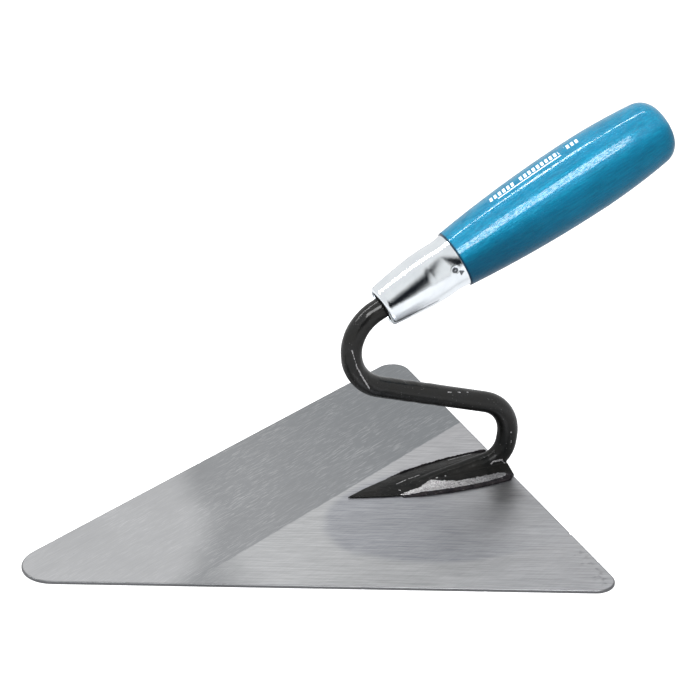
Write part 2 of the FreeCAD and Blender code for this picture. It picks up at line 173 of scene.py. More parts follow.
def turned_mesh(name, rings, segments, closed_ring=False):
    """A mesh turned about the grip line. rings is a list of (along, radius) pairs, or (along, radii) with
    one radius for each segment. A ring of no radius is a single point at the end."""
    angles = np.linspace(0.0, 2 * math.pi, segments, endpoint=False)
    spokes = np.outer(np.cos(angles), GRIP_UPPER) + np.outer(np.sin(angles), GRIP_LEFT)
    points = []
    rows = []
    for along, radius in rings:
        middle = np.array(SHOULDER + GRIP_ALONG * along)
        first = len(points)
        if np.max(radius) < 1e-7:
            points.append(middle)
            rows.append([first] * segments)
            continue
        points.extend(middle + spokes * np.reshape(radius * np.ones(segments), (-1, 1)))
        rows.append(list(range(first, first + segments)))
    faces = []
    pairs = list(zip(rows, rows[1:]))
    if closed_ring:
        pairs.append((rows[-1], rows[0]))
    for low, high in pairs:
        for k in range(segments):
            n = (k + 1) % segments
            corners = [low[k], low[n], high[n], high[k]]
            faces.append(list(dict.fromkeys(corners)))
    return closed_mesh(name, points, faces)


def skinned_copy(node, name, voxel):
    """A copy of a CAD piece as an even skin of small faces, ready to be worked."""
    work = bpy.data.objects.new(name + "_work", NODES[node].data.copy())
    bpy.context.scene.collection.objects.link(work)
    remesh = work.modifiers.new("even skin", "REMESH")
    remesh.mode = "VOXEL"
    remesh.voxel_size = voxel
    remesh.adaptivity = 0.0
    soften = work.modifiers.new("soften", "SMOOTH")
    soften.factor = 0.5
    soften.iterations = 2
    shaped = work.evaluated_get(bpy.context.evaluated_depsgraph_get())
    mesh = bpy.data.meshes.new_from_object(shaped)
    mesh.name = name
    bpy.data.objects.remove(work)
    return mesh


# ---------------------------------------------------------------- shader helpers

class Wiring:
    """Short words for placing and joining shader nodes in one tree."""

    def __init__(self, tree):
        self.tree = tree
        self.places = 0

    def node(self, kind, settings=(), **inputs):
        """Adds a node, sets its properties, and feeds its inputs with numbers, colours or sockets."""
        made = self.tree.nodes.new(kind)
        made.location = (self.places % 12 * 190, -(self.places // 12) * 260)
        self.places += 1
        for name, value in dict(settings).items():
            setattr(made, name, value)
        for name, value in inputs.items():
            self.feed(made, name.replace("_", " "), value)
        return made

    def feed(self, node, socket, value):
        """Feeds one input, found by its name or its number."""
        target = node.inputs[socket]
        if isinstance(value, bpy.types.NodeSocket):
            self.tree.links.new(value, target)
        else:
            target.default_value = value

    def math(self, operation, *values):
        """One sum on numbers or sockets."""
        made = self.node("ShaderNodeMath", {"operation": operation})
        for place, value in enumerate(values):
            self.feed(made, place, value)
        return made.outputs[0]

    def times(self, *values):
        """The product of several values."""
        total = values[0]
        for value in values[1:]:
            total = self.math("MULTIPLY", total, value)
        return total

    def plus(self, *values):
        """The sum of several values."""
        total = values[0]
        for value in values[1:]:
            total = self.math("ADD", total, value)
        return total

    def inverse(self, value):
        """One less the value."""
        return self.math("SUBTRACT", 1.0, value)

    def highest(self, *values):
        """The largest of several values."""
        total = values[0]
        for value in values[1:]:
            total = self.math("MAXIMUM", total, value)
        return total

    def fade(self, value, low, high, start=0.0, end=1.0):
        """A smooth step: start at low, end at high."""
        made = self.node("ShaderNodeMapRange", {"interpolation_type": "SMOOTHSTEP"})
        for place, number in enumerate((value, low, high, start, end)):
            self.feed(made, place, number)
        return made.outputs[0]

    def window(self, value, low, high, soft):
        """1 between low and high and 0 outside, with soft edges."""
        rising = self.fade(value, low - soft, low + soft)
        falling = self.fade(value, high - soft, high + soft, 1.0, 0.0)
        return self.times(rising, falling)

    def mix(self, share, low, high):
        """A colour between two colours."""
        made = self.node("ShaderNodeMix", {"data_type": "RGBA"})
        self.feed(made, 0, share)
        self.feed(made, 6, low)
        self.feed(made, 7, high)
        return made.outputs[2]

    def vector(self, x, y, z):
        """A vector from three values."""
        made = self.node("ShaderNodeCombineXYZ")
        for place, value in enumerate((x, y, z)):
            self.feed(made, place, value)
        return made.outputs[0]

    def dot(self, vector, direction):
        """How far a vector reaches along a direction."""
        made = self.node("ShaderNodeVectorMath", {"operation": "DOT_PRODUCT"})
        self.feed(made, 0, vector)
        self.feed(made, 1, direction)
        return made.outputs["Value"]

    def scaled(self, vector, amount):
        """A vector made longer by one amount."""
        made = self.node("ShaderNodeVectorMath", {"operation": "SCALE"})
        self.feed(made, 0, vector)
        self.feed(made, "Scale", amount)
        return made.outputs[0]

    def shifted(self, vector, offset):
        """A vector moved by an offset."""
        made = self.node("ShaderNodeVectorMath", {"operation": "ADD"})
        self.feed(made, 0, vector)
        self.feed(made, 1, offset)
        return made.outputs[0]

    def noise(self, vector, scale, detail=3.0, roughness=0.55):
        """Soft noise from about 0.2 to 0.8."""
        made = self.node("ShaderNodeTexNoise", Vector=vector, Scale=scale, Detail=detail)
        self.feed(made, "Roughness", roughness)
        return made.outputs[0]

    def cells(self, vector, scale):
        """Distance to the nearest of scattered points."""
        return self.node("ShaderNodeTexVoronoi", Vector=vector, Scale=scale).outputs["Distance"]

    def stored(self, name):
        """A number kept on the mesh."""
        return self.node("ShaderNodeAttribute", {"attribute_name": name}).outputs["Fac"]

    def millimetres(self):
        """The place on the piece, in millimetres of the trowel's own frame."""
        place = self.node("ShaderNodeTexCoord").outputs["Object"]
        return self.scaled(place, 1000.0)

    def group(self, tree, **inputs):
        """Places a shader node group."""
        made = self.node("ShaderNodeGroup", {"node_tree": tree})
        for name, value in inputs.items():
            self.feed(made, name.replace("_", " "), value)
        return made.outputs

    def bump(self, height, distance_mm):
        """A normal from a height map; distance is the height of 1 in millimetres."""
        made = self.node("ShaderNodeBump", Height=height, Strength=1.0)
        self.feed(made, "Distance", distance_mm * MM)
        return made.outputs[0]


def new_group(name, inputs, outputs):
    """An empty shader node group with named inputs (name, kind, default) and outputs (name, kind)."""
    tree = bpy.data.node_groups.new(name, "ShaderNodeTree")
    for label, kind, default in inputs:
        socket = tree.interface.new_socket(label, in_out="INPUT", socket_type="NodeSocket" + kind)
        if default is not None:
            socket.default_value = default
    for label, kind in outputs:
        tree.interface.new_socket(label, in_out="OUTPUT", socket_type="NodeSocket" + kind)
    wiring = Wiring(tree)
    entry = wiring.node("NodeGroupInput")
    leave = wiring.node("NodeGroupOutput")
    return tree, wiring, entry.outputs, leave


def new_finish(name, **constants):
    """A material with one Principled shader; constants are set on the shader's own sockets."""
    finish = bpy.data.materials.new(name)
    finish.use_nodes = True
    wiring = Wiring(finish.node_tree)
    shader = finish.node_tree.nodes["Principled BSDF"]
    for label, value in constants.items():
        shader.inputs[label.replace("_", " ")].default_value = value
    return finish, wiring, shader


# ---------------------------------------------------------------- effects shared by the finishes

def make_grip_line_group():
    """Where a point lies about the grip line: along and around in millimetres, and a stretched vector."""
    tree, w, _, leave = new_group(
        "grip line", [], [("Along", "Float"), ("Around", "Float"), ("Unrolled", "Vector")])
    place = w.shifted(w.millimetres(), [-c / MM for c in SHOULDER])
    along = w.dot(place, list(GRIP_ALONG))
    upper = w.dot(place, list(GRIP_UPPER))
    left = w.dot(place, list(GRIP_LEFT))
    around = w.math("DEGREES", w.math("ARCTAN2", left, upper))
    w.feed(leave, "Along", along)
    w.feed(leave, "Around", around)
    w.feed(leave, "Unrolled", w.vector(along, upper, left))
    return tree


def make_streak_group():
    """Grinding or rubbing streaks that run along a heading. Lengths are in millimetres."""
    tree, w, given, leave = new_group(
        "streaks",
        [("Vector", "Vector", None), ("Heading", "Float", 0.0), ("Length", "Float", 30.0),
         ("Width", "Float", 0.5), ("Sparse", "Float", 0.5)],
        [("Grain", "Float"), ("Scratches", "Float")])
    turned = w.node("ShaderNodeVectorRotate", {"rotation_type": "Z_AXIS"},
                    Vector=given["Vector"], Angle=given["Heading"]).outputs[0]
    parts = w.node("ShaderNodeSeparateXYZ", Vector=turned).outputs
    run = w.math("DIVIDE", parts[0], given["Length"])
    across = w.math("DIVIDE", parts[1], given["Width"])
    depth = w.math("DIVIDE", parts[2], given["Width"])
    lines = w.vector(run, across, depth)
    grain = w.noise(lines, 1.0, 4.0, 0.6)
    finer = w.noise(w.vector(w.times(run, 2.3), w.times(across, 1.9), depth), 1.0, 2.0, 0.6)
    sparse = w.noise(w.vector(w.times(run, 3.0), w.times(across, 1.2), depth), 1.0, 1.0, 0.4)
    edge = w.plus(given["Sparse"], 0.06)
    w.feed(leave, "Grain", w.plus(w.times(grain, 0.6), w.times(finer, 0.4)))
    w.feed(leave, "Scratches", w.fade(sparse, given["Sparse"], edge))
    return tree


def make_handling_group():
    """Marks of use: cloudy smears, fine dust and scattered specks, in millimetres."""
    tree, w, given, leave = new_group(
        "handling marks",
        [("Vector", "Vector", None), ("Smear size", "Float", 12.0), ("Speck size", "Float", 1.5),
         ("Speck share", "Float", 0.12)],
        [("Smears", "Float"), ("Specks", "Float"), ("Dust", "Float")])
    smear_scale = w.math("DIVIDE", 1.0, given["Smear size"])
    speck_scale = w.math("DIVIDE", 1.0, given["Speck size"])
    smears = w.noise(given["Vector"], smear_scale, 4.0, 0.6)
    spots = w.cells(given["Vector"], speck_scale)
    rarely = w.fade(w.noise(given["Vector"], w.times(speck_scale, 0.35), 1.0), 0.5, 0.62)
    specks = w.fade(spots, w.times(given["Speck share"], 0.6), given["Speck share"], 1.0, 0.0)
    w.feed(leave, "Smears", w.fade(smears, 0.3, 0.7))
    w.feed(leave, "Specks", w.times(specks, rarely))
    w.feed(leave, "Dust", w.fade(w.noise(given["Vector"], 2.2, 2.0), 0.45, 0.75))
    return tree


GRIP_LINE = make_grip_line_group()
STREAKS = make_streak_group()
HANDLING = make_handling_group()


# ---------------------------------------------------------------- finishes

GRIND_SLOPE = math.atan(0.5)        # the blade's long edges run at this angle to its middle line


def ground_steel():
    """The blade: two passes of the belt, one along each long edge, that meet in a crisp line; the lighter
    and darker tones of each side are painted reflection, fixed in place.
    """
    finish, w, shader = new_finish("ground steel", Metallic=1.0)
    place = w.millimetres()
    x, y, _ = w.node("ShaderNodeSeparateXYZ", Vector=place).outputs
    ragged = w.times(w.plus(w.noise(place, 0.35, 3.0), -0.5), 0.8)
    cloud = w.plus(w.noise(place, 0.03, 3.0), -0.5)
    beyond = w.plus(w.dot(place, (-0.447, 0.894, 0.0)), 36.7, ragged)
    second_pass = w.times(w.fade(beyond, -0.3, 0.3), w.fade(x, 118.0, 150.0, 1.0, 0.0))
    first = w.group(STREAKS, Vector=place, Heading=-GRIND_SLOPE, Length=16.0, Width=0.36, Sparse=0.585)
    second = w.group(STREAKS, Vector=place, Heading=GRIND_SLOPE, Length=26.0, Width=0.55, Sparse=0.56)
    marks = w.group(HANDLING, Vector=place, Smear_size=38.0, Speck_size=3.0, Speck_share=0.10)
    rim = w.stored("rim")

    # The first pass's side, painted reflection: dull from the heel, and bright again round the tip.
    far_side_painted_reflection = w.mix(w.fade(x, 5.0, 125.0), (0.215, 0.228, 0.240, 1.0), (0.290, 0.298, 0.308, 1.0))
    lean = w.math("MAXIMUM", w.plus(y, 25.0), 0.0)
    past = w.plus(x, w.times(lean, lean, -0.0079), -127.0, w.times(cloud, 16.0))
    far_side_painted_reflection = w.mix(w.fade(past, -9.0, 11.0), far_side_painted_reflection, (0.440, 0.445, 0.455, 1.0))

    # The second pass's side, painted reflection: a dull round-ended patch beside the foot, paler outside
    # it.
    off_x = w.times(w.plus(x, -28.0), 1.0 / 62.0)
    off_y = w.times(w.plus(y, -26.0), 1.0 / 40.0)
    from_patch = w.plus(w.times(off_x, off_x), w.times(off_y, off_y), w.times(cloud, 0.35))
    near_side_painted_reflection = w.mix(w.fade(x, 10.0, 80.0), (0.400, 0.402, 0.418, 1.0), (0.455, 0.462, 0.472, 1.0))
    patch = w.mix(w.fade(x, 12.0, 55.0), (0.385, 0.390, 0.408, 1.0), (0.322, 0.333, 0.362, 1.0))
    near_side_painted_reflection = w.mix(w.fade(from_patch, 0.90, 1.10, 1.0, 0.0), near_side_painted_reflection, patch)

    # Painted reflection: the two sides take these painted tones, split along the line where the passes
    # meet.
    tone = w.mix(second_pass, far_side_painted_reflection, near_side_painted_reflection)
    dark = w.mix(0.20, tone, (0.0, 0.0, 0.0, 1.0))
    light = w.mix(0.13, tone, (1.0, 1.0, 1.0, 1.0))
    worked = w.mix(w.fade(second["Grain"], 0.36, 0.64), dark, light)
    tone = w.mix(w.times(second_pass, 0.85), tone, worked)
    patchy = w.fade(marks["Smears"], 0.0, 0.9, 0.3, 1.0)
    dashes = w.times(first["Scratches"], w.inverse(second_pass), patchy)
    tone = w.mix(w.times(dashes, 0.32), tone, (0.66, 0.66, 0.67, 1.0))
    tone = w.mix(w.times(second["Scratches"], second_pass, 0.16), tone, (0.70, 0.70, 0.71, 1.0))
    fine = w.mix(0.09, tone, (0.0, 0.0, 0.0, 1.0))
    tone = w.mix(w.fade(first["Grain"], 0.35, 0.65), fine, tone)
    tone = w.mix(w.times(marks["Specks"], 0.30), tone, (0.14, 0.14, 0.145, 1.0))

    # Darker beside the foot near the heel, and old mortar stains at the heel corner.
    dark_by_heel = w.times(w.window(x, 3.0, 17.0, 3.0), w.window(y, 13.5, 29.0, 4.0), w.fade(cloud, -0.2, 0.1))
    tone = w.mix(w.times(dark_by_heel, 0.45), tone, (0.075, 0.070, 0.070, 1.0))
    stain = w.times(w.window(x, 2.5, 7.5, 1.5), w.window(y, 74.0, 103.0, 3.0))
    stain = w.times(stain, w.fade(w.noise(place, 0.28, 3.0), 0.5, 0.6))
    tone = w.mix(w.times(stain, 0.34), tone, (0.10, 0.10, 0.10, 1.0))
    # Painted reflection: the rim and its bevel are darkened in colour, standing in for a dark reflection
    # along the edge.
    tone = w.mix(w.times(rim, 0.85), tone, (0.085, 0.088, 0.092, 1.0))
    w.feed(shader, "Base Color", tone)
    grain = w.plus(w.times(first["Grain"], w.inverse(second_pass)),
                   w.times(second["Grain"], second_pass))
    rough = w.plus(0.27, w.times(grain, 0.16), w.times(marks["Smears"], 0.05))
    w.feed(shader, "Roughness", rough)
    ridges = w.plus(grain, w.times(first["Scratches"], 0.4))
    w.feed(shader, "Normal", w.bump(ridges, 0.012))
    return finish


def black_forging():
    """The tang: thick slate-black paint over a forged skin, rubbed to bare steel in places."""
    finish, w, shader = new_finish(
        "black forging", Specular_IOR_Level=0.05, Coat_Roughness=0.15)
    place = w.millimetres()
    height = w.node("ShaderNodeSeparateXYZ", Vector=place).outputs[2]
    marks = w.group(HANDLING, Vector=place, Smear_size=7.0, Speck_size=0.9, Speck_share=0.17)
    bare_edge = w.times(w.plus(w.noise(place, 1.1, 4.0, 0.8), -0.5), 2.1)
    bare = w.fade(w.plus(w.stored("bare"), bare_edge), 0.46, 0.54)
    rubbed = w.fade(w.plus(w.stored("rubbed"), w.times(bare_edge, 0.9)), 0.52, 0.62)
    scale = w.stored("scale")

    paint = w.mix(marks["Smears"], (0.0030, 0.0034, 0.0034, 1.0), (0.0080, 0.0078, 0.0072, 1.0))
    paint = w.mix(w.times(scale, 0.6), paint, (0.020, 0.018, 0.022, 1.0))
    paint = w.mix(w.times(marks["Specks"], 0.6), paint, (0.16, 0.16, 0.16, 1.0))
    rear = w.fade(w.dot(place, (1.0, 0.0, 0.0)), 4.0, 26.0, 0.62, 1.0)
    steel = w.mix(w.fade(w.noise(place, 1.9, 4.0, 0.75), 0.38, 0.64),
                  (0.17, 0.170, 0.172, 1.0), (0.62, 0.61, 0.62, 1.0))
    steel = w.mix(rear, (0.10, 0.10, 0.105, 1.0), steel)
    shine = w.highest(bare, w.times(rubbed, 0.85))
    w.feed(shader, "Base Color", w.mix(shine, paint, steel))
    w.feed(shader, "Metallic", shine)
    facing_up = w.dot(w.node("ShaderNodeTexCoord").outputs["Normal"], (0.0, 0.0, 1.0))
    glossy = w.times(w.fade(height, 4.0, 26.0, 0.05, 0.62), w.inverse(shine))
    glossy = w.times(glossy, w.fade(facing_up, -0.6, 0.3, 0.12, 1.0))
    w.feed(shader, "Coat Weight", w.times(glossy, w.fade(marks["Smears"], 0.0, 1.0, 1.0, 0.7)))
    rough = w.plus(0.30, w.times(marks["Smears"], 0.12), w.times(scale, 0.2), w.times(bare, 0.08))
    w.feed(shader, "Roughness", rough)
    skin = w.plus(w.times(w.noise(place, 0.55, 3.0), 1.0), w.times(w.noise(place, 2.4, 3.0), 0.35))
    scored = w.plus(skin, w.times(bare, w.noise(place, 3.0, 4.0, 0.7), 0.5))
    w.feed(shader, "Normal", w.bump(scored, 0.16))
    return finish


def weld_metal():
    """The weld runs: burnt, scaly metal with soot in the hollows."""
    finish, w, shader = new_finish("weld metal", Specular_IOR_Level=0.06)
    place = w.millimetres()
    marks = w.group(HANDLING, Vector=place, Smear_size=3.0, Speck_size=0.9, Speck_share=0.2)
    crust = w.noise(place, 1.3, 5.0, 0.7)
    burnt = w.mix(w.fade(crust, 0.35, 0.65), (0.002, 0.002, 0.003, 1.0), (0.012, 0.011, 0.014, 1.0))
    burnt = w.mix(w.times(marks["Smears"], 0.25), burnt, (0.045, 0.036, 0.034, 1.0))
    bright = w.times(marks["Specks"], 0.45)
    w.feed(shader, "Base Color", w.mix(bright, burnt, (0.55, 0.54, 0.54, 1.0)))
    w.feed(shader, "Metallic", w.plus(0.10, w.times(bright, 0.6)))
    w.feed(shader, "Roughness", w.plus(0.40, w.times(crust, 0.3)))
    w.feed(shader, "Normal", w.bump(crust, 0.30))
    return finish


def bright_plating():
    """The ferrule: mirror plating with a fine grain and a few rubs along it."""
    finish, w, shader = new_finish("bright plating", Metallic=1.0)
    line = w.group(GRIP_LINE)
    marks = w.group(HANDLING, Vector=line["Unrolled"], Smear_size=6.0, Speck_size=1.3,
                    Speck_share=0.09)
    rubs = w.group(STREAKS, Vector=line["Unrolled"], Length=9.0, Width=0.35, Sparse=0.66)
    grain = w.noise(line["Unrolled"], 2.8, 3.0, 0.7)
    dent_shade = w.stored("dent")
    tone = w.mix(w.times(marks["Smears"], 0.5), (0.81, 0.85, 0.875, 1.0), (0.68, 0.725, 0.765, 1.0))
    # Painted shade: the punch dents are darkened nearly to black.
    tone = w.mix(w.times(w.fade(dent_shade, 0.25, 0.8), 0.9), tone, (0.05, 0.055, 0.065, 1.0))
    tone = w.mix(w.times(marks["Specks"], 0.6), tone, (0.25, 0.26, 0.28, 1.0))
    w.feed(shader, "Base Color", tone)
    rough = w.plus(0.045, w.times(marks["Smears"], 0.03), w.times(rubs["Scratches"], 0.08))
    w.feed(shader, "Roughness", rough)
    w.feed(shader, "Normal", w.bump(w.plus(grain, w.times(rubs["Grain"], 0.3)), 0.030))
    return finish


def lacquered_wood():
    """The grip: clear blue lacquer over long wood grain, with plain white printed ticks."""
    finish, w, shader = new_finish(
        "lacquered wood", Coat_Roughness=0.09, Specular_IOR_Level=0.08)
    line = w.group(GRIP_LINE)
    along, around = line["Along"], line["Around"]
    marks = w.group(HANDLING, Vector=line["Unrolled"], Smear_size=11.0, Speck_size=2.2,
                    Speck_share=0.07)
    x, u, v = w.node("ShaderNodeSeparateXYZ", Vector=line["Unrolled"]).outputs
    fibre = w.noise(w.vector(w.times(x, 0.09), u, v), 1.5, 4.0, 0.65)
    pores = w.noise(w.vector(w.times(x, 0.22), u, v), 3.4, 2.0, 0.6)
    bands = w.noise(w.vector(w.times(x, 0.03), u, v), 0.33, 3.0, 0.5)
    pore_lines = w.fade(pores, 0.55, 0.68)

    blue = w.mix(w.fade(fibre, 0.33, 0.67), (0.001, 0.115, 0.205, 1.0), (0.003, 0.180, 0.295, 1.0))
    blue = w.mix(w.times(w.fade(bands, 0.35, 0.65), 0.35), blue, (0.002, 0.130, 0.250, 1.0))
    blue = w.mix(w.times(pore_lines, 0.35), blue, (0.001, 0.050, 0.125, 1.0))
    blue = w.mix(w.times(marks["Smears"], 0.12), blue, (0.010, 0.270, 0.500, 1.0))
    # Painted shade: the wood darkens nearly to black in the first millimetre beside the ferrule's edge.
    blue = w.mix(w.fade(along, 0.2, 1.0, 0.85, 0.0), blue, (0.001, 0.006, 0.015, 1.0))
    # Painted shade: the nick is darkened nearly to black inside its hollow.
    blue = w.mix(w.times(w.stored("nick"), 0.95), blue, (0.004, 0.008, 0.012, 1.0))

    shade = w.times(w.fade(around, 52.0, 84.0), w.fade(along, 0.0, 60.0, 0.75, 0.42))
    blue = w.mix(shade, blue, (0.001, 0.028, 0.060, 1.0))
    flecks = w.fade(w.noise(w.vector(w.times(x, 0.22), u, v), 2.3, 3.0, 0.7), 0.42, 0.58)
    dulled = w.fade(around, 52.0, 66.0, 1.0, 0.06)
    w.feed(shader, "Coat Weight", w.times(dulled, w.plus(0.20, w.times(flecks, 0.72))))

    worn = w.fade(w.noise(line["Unrolled"], 1.7, 3.0, 0.6), 0.30, 0.40)
    words = w.plus(w.window(along, 23.0, 35.6, 0.1), w.window(along, 38.2, 57.4, 0.1),
                   w.window(along, 60.6, 67.4, 0.1))
    beat = w.math("PINGPONG", w.plus(along, w.times(around, 0.05)), 1.05)
    ticks = w.times(w.fade(beat, 0.36, 0.50), words, w.window(around, -5.5, 4.5, 0.5))
    rule = w.times(w.window(around, 7.2, 9.2, 0.4), w.window(along, 26.5, 57.4, 0.1))
    print_mask = w.times(w.highest(ticks, rule), worn)
    w.feed(shader, "Base Color", w.mix(print_mask, blue, (0.82, 0.84, 0.86, 1.0)))
    w.feed(shader, "Metallic", w.times(w.inverse(print_mask), 0.15))
    w.feed(shader, "Roughness", w.plus(0.24, w.times(fibre, 0.12), w.times(pore_lines, 0.1)))
    height = w.plus(w.times(fibre, 0.9), w.times(pore_lines, -0.35), w.times(bands, 0.8))
    w.feed(shader, "Normal", w.bump(height, 0.10))
    return finish


def pale_floor():
    """A plain table top with a very faint tooth, lit up to white where it is looked at."""
    finish, w, shader = new_finish("pale floor", Specular_IOR_Level=0.1, Emission_Strength=0.62)
    tooth = w.noise(w.millimetres(), 0.02, 3.0)
    w.feed(shader, "Base Color", w.mix(tooth, (0.53, 0.53, 0.54, 1.0), (0.57, 0.57, 0.58, 1.0)))
    w.feed(shader, "Roughness", w.plus(0.7, w.times(tooth, 0.1)))
    seen = w.node("ShaderNodeLightPath").outputs["Is Camera Ray"]
    w.feed(shader, "Emission Color", w.mix(seen, (0.0, 0.0, 0.0, 1.0), (1.0, 1.0, 1.0, 1.0)))
    return finish


# ---------------------------------------------------------------- pieces

def blade_outline(spacing, easing):
    """The rim of the CAD sole as evenly spaced places (x, y), and the way out from each."""
    points = points_of(NODES["blade"].data)
    sole = points[points[:, 2] < 0.1 * MM][:, :2]
    ring = sole[geometry.convex_hull_2d([tuple(p) for p in sole])]
    loop = np.vstack([ring, ring[:1]])
    travel = np.r_[0.0, np.cumsum(np.hypot(*np.diff(loop, axis=0).T))]
    places = np.linspace(0.0, travel[-1], int(travel[-1] / spacing), endpoint=False)
    line = np.c_[np.interp(places, travel, loop[:, 0]), np.interp(places, travel, loop[:, 1])]
    reach, weights = easing_weights(easing, spacing)
    padded = np.r_[line[-reach:], line, line[:reach]]
    line = np.c_[[np.convolve(padded[:, k], weights, "valid") for k in (0, 1)]].T
    way = np.roll(line, -1, axis=0) - np.roll(line, 1, axis=0)
    way /= np.linalg.norm(way, axis=1)[:, None]
    outward = np.c_[way[:, 1], -way[:, 0]]
    if ((line - line.mean(axis=0)) * outward).sum() < 0:
        outward = -outward
    return line, outward


# The blade's section at its rim, in millimetres: (inward from the outline, height, share of the rim's
# painted dark reflection).
RIM_SECTION = ((1.2, 0.0, 0.0), (0.10, 0.0, 1.0), (0.0, 0.12, 1.0), (0.0, 0.80, 1.0), (0.10, 1.0, 1.0),
               (0.34, 1.2, 0.90), (0.78, 1.2, 0.0), (1.5, 1.2, 0.0))
HEEL_NICK = (0.0, 62.0)             # place of the larger knock in the heel edge, in millimetres


def make_blade():
    """The blade: the CAD outline with a ground rim, small knocks and a nick at the heel."""
    line, outward = blade_outline(0.6 * MM, 1.4 * MM)
    places = np.c_[line / MM, np.zeros(len(line))]
    knocks = ramp(lumps(places, 2.6, 12), 0.42, 0.75) * 0.16 + np.abs(lumps(places, 1.1, 13)) * 0.035
    from_nick = np.hypot(places[:, 0] - HEEL_NICK[0], places[:, 1] - HEEL_NICK[1])
    knocks = knocks + 0.45 * (1.0 - ramp(from_nick, 0.3, 1.3))
    points = []
    tones = []
    for inward, height, tone in RIM_SECTION:
        move = knocks * (1.0 - ramp(inward, 0.4, 1.2)) + inward
        ring = line / MM - outward * move[:, None]
        points.extend((x, y, height) for x, y in ring)
        tones.extend([tone] * len(ring))
    count = len(line)
    faces = [list(range(count)), list(range(count * (len(RIM_SECTION) - 1), count * len(RIM_SECTION)))]
    for row in range(len(RIM_SECTION) - 1):
        for k in range(count):
            n = (k + 1) % count
            low, high = row * count, (row + 1) * count
            faces.append([low + k, low + n, high + n, high + k])
    mesh = closed_mesh("blade_sheet", [np.array(p) * MM for p in points], faces)
    keep_value(mesh, "rim", np.array(tones))
    sheet = add_piece("blade_sheet", mesh, "blade", ground_steel())
    for polygon in mesh.polygons:
        polygon.use_smooth = False
    return sheet


# How far the rubbed strip on the foot's left flank reaches: (x, low y, high y), in millimetres.
BARE_STRIP = ((2.0, 9.8, 10.2), (6.0, 8.9, 11.4), (12.0, 8.8, 12.0), (25.0, 7.7, 11.4),
              (31.0, 5.2, 10.8), (35.0, 2.8, 10.5), (41.0, 5.9, 10.0), (48.0, 6.6, 9.0), (50.5, 7.2, 8.2))


def make_tang():
    """The forging: the CAD shape in a thick lumpy coat, with a rubbed strip along the foot."""
    mesh = skinned_copy("tang", "tang_forging", 0.36 * MM)
    points = points_of(mesh) / MM
    normals = normals_of(mesh)
    x, y, z = points.T
    low = np.interp(x, [s[0] for s in BARE_STRIP], [s[1] for s in BARE_STRIP])
    high = np.interp(x, [s[0] for s in BARE_STRIP], [s[2] for s in BARE_STRIP])
    inside = np.minimum(y - low, high - y)
    on_foot = ramp(z, 1.5, 1.9) * (1.0 - ramp(z, 4.6, 5.4)) * ramp(normals[:, 2], 0.1, 0.3)
    bare = ramp(inside, -0.9, 0.9) * on_foot * ramp(x, 2.0, 4.0)
    scale = ramp(y, 9.0, 11.0) * (1.0 - ramp(z, 2.6, 3.4)) * (1.0 - ramp(x, 46.0, 52.0))
    scale = scale * (1.0 - bare)
    in_grip = grip_coordinates(points * MM)[0] / MM
    exposed = 1.0 - ramp(in_grip, -32.0, -29.0)
    body = lumps(points, 5.5, 1) * 0.11 + lumps(points, 2.1, 2) * 0.06
    crust = lumps(points, 1.3, 3) * 0.16 + lumps(points, 3.2, 4) * 0.12
    lift = body + crust * scale - bare * (0.14 - 0.05 * lumps(points, 0.9, 5))
    resting = 1.0 - ramp(z, 1.3, 1.7)
    lift = lift * exposed * (1.0 - resting)
    points = points + normals * lift[:, None]
    points[:, 2] = np.maximum(points[:, 2], 1.2)
    place_points(mesh, points * MM)
    scraped = scrape_mask(points)
    keep_value(mesh, "bare", bare)
    keep_value(mesh, "rubbed", scraped)
    keep_value(mesh, "scale", scale)
    return add_piece("tang_forging", mesh, "tang", black_forging())


# Scrapes and rubbed spots on the neck and foot, in millimetres: (start, end, width).
SCRAPES = (
    ((70.2, 4.0, 71.2), (68.5, 4.3, 64.0), 0.42),
    ((68.5, 4.3, 64.0), (65.5, 4.3, 57.5), 0.50),
    ((65.5, 4.3, 57.5), (63.0, 4.3, 53.0), 0.55),
    ((59.4, 3.6, 88.4), (60.2, 3.6, 87.0), 0.5),
    ((27.3, 3.1, 42.9), (25.6, 3.0, 42.4), 0.4),
    ((22.5, 2.6, 41.6), (21.4, 2.6, 41.3), 0.4),
    ((18.1, 2.0, 40.4), (17.6, 2.0, 40.2), 0.5),
    ((-1.5, 4.4, 18.5), (-1.5, 4.4, 18.1), 0.4),
    ((-1.5, 4.4, 14.4), (-1.7, 4.4, 13.6), 0.4),
    ((7.5, 4.1, 5.1), (6.0, 3.9, 6.0), 0.55),
    ((5.4, 4.0, 5.9), (2.4, 4.4, 6.0), 0.75),
    ((2.2, 4.4, 5.4), (1.1, 4.5, 4.3), 0.55),
    ((49.0, -0.3, 2.6), (44.0, -1.6, 2.8), 0.36),
    ((43.0, -1.8, 2.8), (37.0, -2.9, 3.1), 0.30),
    ((49.8, 4.2, 2.4), (49.4, 4.8, 2.4), 0.45),
    ((20.5, -10.4, 2.4), (9.0, -11.2, 2.4), 0.34),
    ((32.2, 2.6, 3.2), (31.6, 2.7, 3.2), 0.45),
    ((28.3, 3.1, 3.5), (27.9, 3.1, 3.5), 0.40),
)


def scrape_mask(points):
    """1 along a long thin scrape on the neck's upper bend, and on a few rubbed spots."""
    total = np.zeros(len(points))
    for start, end, width in SCRAPES:
        start, end = np.array(start), np.array(end)
        span = end - start
        share = np.clip(((points - start) @ span) / (span @ span), 0.0, 1.0)
        gap = np.linalg.norm(points - start - share[:, None] * span, axis=1)
        total = np.maximum(total, 1.0 - ramp(gap, 0.2 * width, width))
    return total


WELD_METAL = weld_metal()


